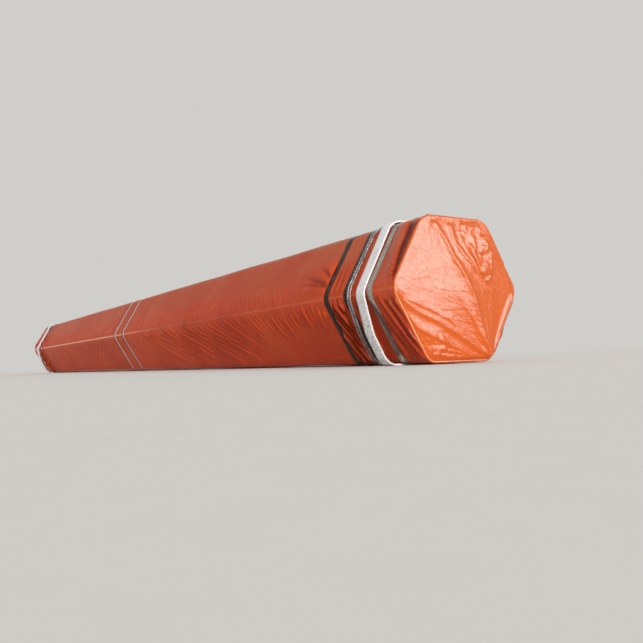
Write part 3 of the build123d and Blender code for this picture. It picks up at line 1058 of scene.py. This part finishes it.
def laminated_woven_sheet():
    """Woven polypropylene tape cloth with a melt-coated film: glossy, with the tapes' grid just showing.

    Dust, with a painted sheen, greys its upper sides, and painted shade darkens its folds and pockets.
    Painted highlights run pale along the ridges of the far half and where it turns over the pipe ends,
    and its ends are painted a lighter orange, standing in for the light on them.
    """
    tape = 0.0025
    drawn_weave = 4 * tape  # over one tape and under the next, drawn twice as coarse, or it wouldn't show
    clouds, smears, highlight_breakup_size = 0.333, 0.0182, 0.0333
    crinkle_across, crinkle_along, ripple_size = 0.111, 0.0238, 0.0385
    cockle_size, cockle_slant, speckle_size = 0.02, radians(-40), 0.00625
    ridge_highlight_width, end_band, gloss_band = 0.007, 0.006, 0.2
    material, tree, shader, place = new_material("laminated_woven_polypropylene",
                                                 {"IOR": 1.49, "Specular IOR Level": 0.22})
    surface = add(tree, "ShaderNodeUVMap", uv_map="surface").outputs[0]
    wear, dust, grime, count, size = (
        add(tree, "ShaderNodeAttribute", attribute_name=name).outputs["Fac"]
        for name in ("wear", "dust", "grime", "fold_count", "fold_size"))
    cloudy = add(tree, "ShaderNodeTexNoise",
                 {"Vector": place, "Scale": 1 / clouds, "Detail": 4.0, "Roughness": 0.6})
    smeared = add(tree, "ShaderNodeTexNoise", {"Vector": place, "Scale": 1 / smears, "Detail": 3.0})
    highlight_breakup = add(tree, "ShaderNodeTexNoise",
                  {"Vector": place, "Scale": 1 / highlight_breakup_size, "Detail": 5.0, "Roughness": 0.7})
    along = add(tree, "ShaderNodeSeparateXYZ", {0: place}).outputs["X"]
    from_middle = add(tree, "ShaderNodeMath", {0: along}, operation="ABSOLUTE")
    from_ridge = add(tree, "ShaderNodeMath",
                     {0: add(tree, "ShaderNodeSeparateXYZ", {0: surface}), 1: side_step / 2},
                     operation="PINGPONG")
    # a painted highlight along the ridges, strongest on the far half
    near_ridge = add(tree, "ShaderNodeMapRange",
                     {"Value": from_ridge, "From Min": ridge_highlight_width, "From Max": 0.001},
                     **eased)
    far_half = add(tree, "ShaderNodeMapRange",
                   {"Value": along, "From Min": 1.2, "From Max": -0.6, "To Min": 0.1},
                   **eased)
    ridge_highlight = add(tree, "ShaderNodeMath", {0: near_ridge, 1: far_half}, operation="MULTIPLY")

    base = tinted(tree, colour("#BC3D18"), "#CC4C1E", cloudy, 0.35, 0.7)
    base = tinted(tree, base, "#AE3718", smeared, 0.4, 0.9, 0.0, 0.2)
    # Dust, with a painted sheen: greyer on the upper sides
    base = tinted(tree, base, "#A96C52", cloudy, 0.3, 0.65, 0.35, 0.8, dust)
    # painted shade: darker red-brown in the folds' valleys, the rim pockets and the puckers' creases
    base = tinted(tree, base, "#561A10", smeared, 0.2, 0.6, 0.6, 0.9, grime)
    # painted highlight: pale along the ridges
    base = tinted(tree, base, "#F2C4A6", highlight_breakup, 0.3, 0.6, 0.6, 1.0, ridge_highlight)
    # painted light: the end faces are painted a lighter orange than the flanks, standing in for the light
    # falling on them
    base = tinted(tree, base, "#DA6424", from_middle, sheet_end - end_band, sheet_end)
    # painted highlight: pale along the rounded end edges
    base = tinted(tree, base, "#FAD0B0", highlight_breakup, 0.3, 0.6, 0.35, 0.85, wear)

    dull = add(tree, "ShaderNodeMapRange",
               {"Value": from_middle, "From Min": sheet_end - gloss_band, "From Max": sheet_end - 0.002,
                "To Min": 0.5, "To Max": 0.2}, **eased)
    smears_dull = add(tree, "ShaderNodeMapRange",
                      {"Value": smeared, "From Min": 0.3, "From Max": 0.75, "To Max": 0.09},
                      **eased)
    rough = add(tree, "ShaderNodeMath", {0: dull, 1: smears_dull}, operation="ADD")

    crest = add(tree, "ShaderNodeMath", {0: count, 1: 0.5}, operation="PINGPONG")
    sharp = add(tree, "ShaderNodeMath", {0: crest, 1: 1.6}, operation="POWER")
    folds = add(tree, "ShaderNodeMath", {0: sharp, 1: size}, operation="MULTIPLY")
    crinkle_space = add(tree, "ShaderNodeMapping",
                        {"Vector": surface, "Scale": (1 / crinkle_across, 1 / crinkle_along, 1.0)})
    crinkles = add(tree, "ShaderNodeTexNoise",
                   {"Vector": crinkle_space, "Scale": 1.0, "Detail": 3.0, "Distortion": 0.4})
    ripples = add(tree, "ShaderNodeTexNoise",
                  {"Vector": place, "Scale": 1 / ripple_size, "Detail": 4.0, "Roughness": 0.55})
    cockle_space = add(tree, "ShaderNodeMapping",
                       {"Vector": place, "Rotation": (cockle_slant, 0, 0), "Scale": (1.0, 1.0, 0.5)},
                       vector_type="TEXTURE")
    cockled = add(tree, "ShaderNodeTexNoise",
                  {"Vector": cockle_space, "Scale": 1 / cockle_size, "Detail": 2.0})
    at_end = add(tree, "ShaderNodeMapRange",
                 {"Value": from_middle, "From Min": sheet_end - end_band, "From Max": sheet_end},
                 **eased)
    cockles = add(tree, "ShaderNodeMath", {0: cockled, 1: at_end}, operation="MULTIPLY")
    speckles = add(tree, "ShaderNodeTexNoise", {"Vector": place, "Scale": 1 / speckle_size, "Detail": 2.0})
    layers = [
        (folds, 0.03, 1.0),
        (crinkles, 0.0035, 0.5),
        (ripples, 0.0018, 0.45),
        (cockles, 0.0032, 0.5),
        (speckles, 0.0014, 0.7),
        (woven(tree, surface, drawn_weave, drawn_weave), 0.0002, 0.5),
    ]
    under = {}
    for height, depth, strength in layers:
        relief = {"Height": height, "Distance": depth, "Strength": strength}
        bump = add(tree, "ShaderNodeBump", relief | under)
        under = {"Normal": bump}
    fill(tree, shader, {"Base Color": base, "Roughness": rough, "Normal": bump})
    return material


def strip_steel(name, light, dark, roughness, glint_width=None):
    """Cold-rolled strip: long drawn streaks, and the soft waves of a thin strip pulled tight.

    A glint width is how wide a painted highlight, white metal, runs along the +X side. The rest is then a
    coating.
    """
    streak_width, streak_length, stain_size, wave_size = 0.0025, 0.167, 0.0455, 0.0625
    material, tree, shader, place = new_material(name, {"Metallic": 1.0})
    surface = add(tree, "ShaderNodeUVMap", uv_map="surface").outputs[0]
    drawn = add(tree, "ShaderNodeMapping",
                {"Vector": surface, "Scale": (1 / streak_width, 1 / streak_length, 1.0)})
    streaks = add(tree, "ShaderNodeTexNoise", {"Vector": drawn, "Scale": 1.0, "Detail": 3.0})
    stains = add(tree, "ShaderNodeTexNoise", {"Vector": place, "Scale": 1 / stain_size, "Detail": 4.0})
    base = tinted(tree, colour(dark), light, streaks, 0.3, 0.7)
    base = tinted(tree, base, dark, stains, 0.5, 0.75, 0.0, 0.5)
    # painted highlight: the +X side is painted white and made metallic, the rest stays a non-metallic coat
    if glint_width:
        across = add(tree, "ShaderNodeSeparateXYZ", {0: surface})
        base = tinted(tree, base, "#FFFFFF", across, glint_width, 0.8 * glint_width)
        glint = add(tree, "ShaderNodeMapRange",
                   {"Value": across, "From Min": glint_width, "From Max": 0.8 * glint_width},
                   **eased)
        fill(tree, shader, {"Metallic": glint})
    rough = add(tree, "ShaderNodeMapRange",
                {"Value": stains, "From Min": 0.35, "From Max": 0.7,
                 "To Min": roughness, "To Max": roughness + 0.14}, **eased)
    waves = add(tree, "ShaderNodeTexNoise", {"Vector": place, "Scale": 1 / wave_size, "Detail": 1.0})
    bump = add(tree, "ShaderNodeBump", {"Height": waves, "Distance": 0.002, "Strength": 0.6})
    fill(tree, shader, {"Base Color": base, "Roughness": rough, "Normal": bump})
    return material


def zinc_strip():
    """Galvanised strapping: pale, a little dull, with streaks from drawing."""
    return strip_steel("galvanised_steel_strapping", light="#C9C5BB", dark="#8F8980", roughness=0.24)


def dark_reflection_strip():
    """Steel strapping with a painted dark grey-brown reflection, shiny, so its edges and bends catch the
    light.
    """
    return strip_steel("steel_strapping_painted_dark_reflection", light="#4A3F39", dark="#211C1A", roughness=0.22)


def glinting_edge_strip():
    """Steel strapping with a painted black reflection and a painted highlight on one edge: white beside
    black.
    """
    return strip_steel("steel_strapping_painted_dark_with_edge_glint", light="#0F0C0B", dark="#080605", roughness=0.4,
                       glint_width=0.009)


def mottled(name, metallic, patch, detail, low, dark, light, roughness, roughest=None):
    """A finish that drifts from a dark shade to a light one, from patch to patch of that size."""
    constants = {"Metallic": metallic, "Roughness": roughness}
    material, tree, shader, place = new_material(name, constants)
    patches = add(tree, "ShaderNodeTexNoise", {"Vector": place, "Scale": 1 / patch, "Detail": detail})
    fill(tree, shader, {"Base Color": tinted(tree, colour(dark), light, patches, low, 0.7)})
    if roughest:
        rough = add(tree, "ShaderNodeMapRange",
                    {"Value": patches, "From Min": 0.3, "From Max": 0.7,
                     "To Min": roughness, "To Max": roughest}, **eased)
        fill(tree, shader, {"Roughness": rough})
    return material


def seal_steel():
    """Zinc-plated sheet steel, stamped: grey and even, with small dull spots."""
    return mottled("zinc_plated_seal_steel", metallic=1.0, patch=0.00625, detail=3.0, low=0.35,
                   dark="#8D8A85", light="#B9B6AF", roughness=0.25, roughest=0.45)


def polyester_thread():
    """Twisted polyester sewing thread: a little brighter than the webbing."""
    return mottled("polyester_thread", metallic=0.0, patch=0.0033, detail=1.0, low=0.3,
                   dark="#CFCAC4", light="#EFECE8", roughness=0.6)


def pressed_sleeve():
    """Pressed aluminium sleeve: light grey, satin, with fine press marks."""
    return mottled("pressed_aluminium_sleeve", metallic=1.0, patch=0.0045, detail=2.0, low=0.3,
                   dark="#9B9C9E", light="#C4C5C6", roughness=0.3, roughest=0.45)


def mill_scale():
    """Hot-rolled pipe steel: blue-black mill scale with a brown bloom."""
    return mottled("mill_scale_pipe_steel", metallic=0.8, patch=0.0714, detail=5.0, low=0.45,
                   dark="#34363A", light="#5B4438", roughness=0.55)


def polyester_webbing():
    """Woven polyester webbing: off-white, matt, ribbed across, and greyer in patches towards the bottom."""
    cord_spacing, rib_spacing = 0.0025, 0.0035  # of the warp cords along it, and of the ribs across it
    grey_mottle_size, patch_size = 0.0077, 0.0714
    material, tree, shader, place = new_material("woven_polyester_webbing",
                                                 {"Roughness": 0.85, "Sheen Weight": 0.25})
    surface = add(tree, "ShaderNodeUVMap", uv_map="surface").outputs[0]
    grey_mottle = add(tree, "ShaderNodeTexNoise",
               {"Vector": place, "Scale": 1 / grey_mottle_size, "Detail": 4.0, "Roughness": 0.7})
    patches = add(tree, "ShaderNodeTexNoise", {"Vector": place, "Scale": 1 / patch_size, "Detail": 3.0})
    low_down = add(tree, "ShaderNodeMapRange",
                   {"Value": add(tree, "ShaderNodeSeparateXYZ", {0: place}).outputs["Z"],
                    "From Min": 0.34, "From Max": 0.16, "To Min": 0.25}, **eased)
    weave = woven(tree, surface, cord_spacing, rib_spacing)
    facing = add(tree, "ShaderNodeSeparateXYZ", {0: add(tree, "ShaderNodeNewGeometry").outputs["Normal"]})
    webbing_edge_highlight = add(tree, "ShaderNodeMath", {0: facing}, operation="ABSOLUTE")
    # greyer in mottled patches towards the bottom
    base = tinted(tree, colour("#FBFCFD"), "#A9A5A3", grey_mottle, 0.45, 0.68, mask=low_down)
    base = tinted(tree, base, "#B9B5B3", patches, 0.5, 0.75, 0.0, 0.3)
    # painted shade: the weave's low places, between the threads, are painted darker
    base = tinted(tree, base, "#8B857F", weave, 0.0, 0.6, 0.3, 0.0)
    # painted highlight: the webbing's edges, which face along X, are painted near white
    base = tinted(tree, base, "#FDFDFE", webbing_edge_highlight, 0.3, 0.7)
    bump = add(tree, "ShaderNodeBump", {"Height": weave, "Distance": 0.0007, "Strength": 0.8})
    fill(tree, shader, {"Base Color": base, "Normal": bump})
    return material


def greased_wire():
    """Galvanised rope wire: bright on its strands' crowns, black in the grooves from grease and painted
    shade.
    """
    grease_size = 0.0167
    groove, crown = 0.82 * rope_diameter / 2, 0.94 * rope_diameter / 2
    material, tree, shader, place = new_material("greased_rope_wire", {"Metallic": 0.7})
    grease = add(tree, "ShaderNodeTexNoise", {"Vector": place, "Scale": 1 / grease_size, "Detail": 3.0})
    middle = add(tree, "ShaderNodeAttribute", attribute_name="rope_middle").outputs["Vector"]
    out = add(tree, "ShaderNodeVectorMath", {0: place, 1: middle}, operation="DISTANCE")
    wire = tinted(tree, colour("#C8C9CB"), "#F2F3F4", grease, 0.35, 0.65)
    # the grooves are painted black: grease, and painted shade between the strands
    base = tinted(tree, wire, "#0C0B0B", out, crown, groove)
    rough = add(tree, "ShaderNodeMapRange",
                {"Value": grease, "From Min": 0.3, "From Max": 0.7, "To Min": 0.25, "To Max": 0.42},
                **eased)
    fill(tree, shader, {"Base Color": base, "Roughness": rough})
    return material


# Studio

def make_floor():
    """Plain painted floor: pale, matt, and all but even."""
    half, grain_size = 60.0, 0.025
    material, tree, shader, place = new_material("pale_floor",
                                                 {"Roughness": 0.9, "Specular IOR Level": 0.0})
    grain = add(tree, "ShaderNodeTexNoise", {"Vector": place, "Scale": 1 / grain_size, "Detail": 2.0})
    shade = add(tree, "ShaderNodeMix", {0: grain, 6: colour("#E6E4E0"), 7: colour("#EAE8E4")},
                data_type="RGBA")
    fill(tree, shader, {"Base Color": shade.outputs[2]})
    corners = [(-half, -half, 0), (half, -half, 0), (half, half, 0), (-half, half, 0)]
    floor = new_mesh_object("floor", corners, [(0, 1, 2, 3)])
    floor.data.materials.append(material)


def make_world():
    """An even studio. What the camera, gloss and glass see of it is paler than what lights the object."""
    world = bpy.data.worlds.new("studio")
    bpy.context.scene.world = world
    world.use_nodes = True
    tree = world.node_tree
    tree.nodes.clear()
    path = add(tree, "ShaderNodeLightPath").outputs
    seen = add(tree, "ShaderNodeMath", {0: path["Is Camera Ray"], 1: path["Is Glossy Ray"]},
               operation="MAXIMUM")
    seen = add(tree, "ShaderNodeMath", {0: seen, 1: path["Is Transmission Ray"]}, operation="MAXIMUM")
    lighting = add(tree, "ShaderNodeBackground", {"Color": colour("#F0EEEA"), "Strength": 0.45})
    backdrop = add(tree, "ShaderNodeBackground", {"Color": colour("#E3E1DE"), "Strength": 0.82})
    both = add(tree, "ShaderNodeMixShader", {0: seen, 1: lighting, 2: backdrop})
    add(tree, "ShaderNodeOutputWorld", {"Surface": both})


def make_light(name, kind, energy, towards_light):
    """A lamp that shines away from that direction."""
    lamp = bpy.data.lights.new(name, kind)
    lamp.energy = energy
    light = bpy.data.objects.new(name, lamp)
    light.rotation_euler = Vector(towards_light).to_track_quat("Z", "Y").to_euler()
    bpy.context.scene.collection.objects.link(light)
    return light


def make_lights():
    # the bright opening that the glossy end mirrors: it lights only what is glossy
    opening = make_light("bright_opening", "AREA", 198, (1, 0, 0))
    opening.data.shape = "RECTANGLE"
    opening.data.size, opening.data.size_y = 1.8, 1.6
    opening.location = (5.3, 1.2, 1.12)
    opening.visible_camera = False
    opening.visible_diffuse = False
    for name, energy, towards_light, angle in [("key", 2.35, (0.88, -0.36, 0.36), 12),
                                               ("rear_fill", 0.6, (-0.5, 0.7, 0.6), 40)]:
        make_light(name, "SUN", energy, towards_light).data.angle = radians(angle)


def make_camera():
    """The photograph's view, with the lens just above the floor."""
    place = Vector((5.040, -1.742, 0.030))
    yaw, pitch, roll = radians(32.36), radians(3.16), radians(-2.12)
    focal_pixels, image_size, sensor = 698.0, 643.0, 36.0
    forward = Vector((-cos(yaw) * cos(pitch), sin(yaw) * cos(pitch), sin(pitch)))
    right = forward.cross(Vector((0, 0, 1))).normalized()
    up = right.cross(forward)
    turned_right = right * cos(roll) + up * sin(roll)
    turned_up = up * cos(roll) - right * sin(roll)
    lens = bpy.data.cameras.new("camera")
    lens.lens = focal_pixels / image_size * sensor
    lens.sensor_width = sensor
    lens.clip_start, lens.clip_end = 0.01, 200.0
    camera = bpy.data.objects.new("camera", lens)
    axes = Matrix((turned_right, turned_up, -forward)).transposed()
    camera.matrix_world = Matrix.Translation(place) @ axes.to_4x4()
    bpy.context.scene.collection.objects.link(camera)
    bpy.context.scene.camera = camera


materials = {
    "sheet": laminated_woven_sheet(),
    "zinc strip": zinc_strip(),
    "dark reflection strip": dark_reflection_strip(),
    "glinting edge strip": glinting_edge_strip(),
    "seal": seal_steel(),
    "webbing": polyester_webbing(),
    "thread": polyester_thread(),
    "rope": greased_wire(),
    "ferrule": pressed_sleeve(),
    "pipe": mill_scale(),
}
bpy.context.scene.view_settings.view_transform = "Standard"
make_camera()
make_world()
make_lights()
make_floor()
make_sheet()
make_straps()
make_slings()
make_ropes()
for row in range(2 * pipes_per_side - 1):
    dress_node(f"pipe_row_{row + 1}", materials["pipe"])
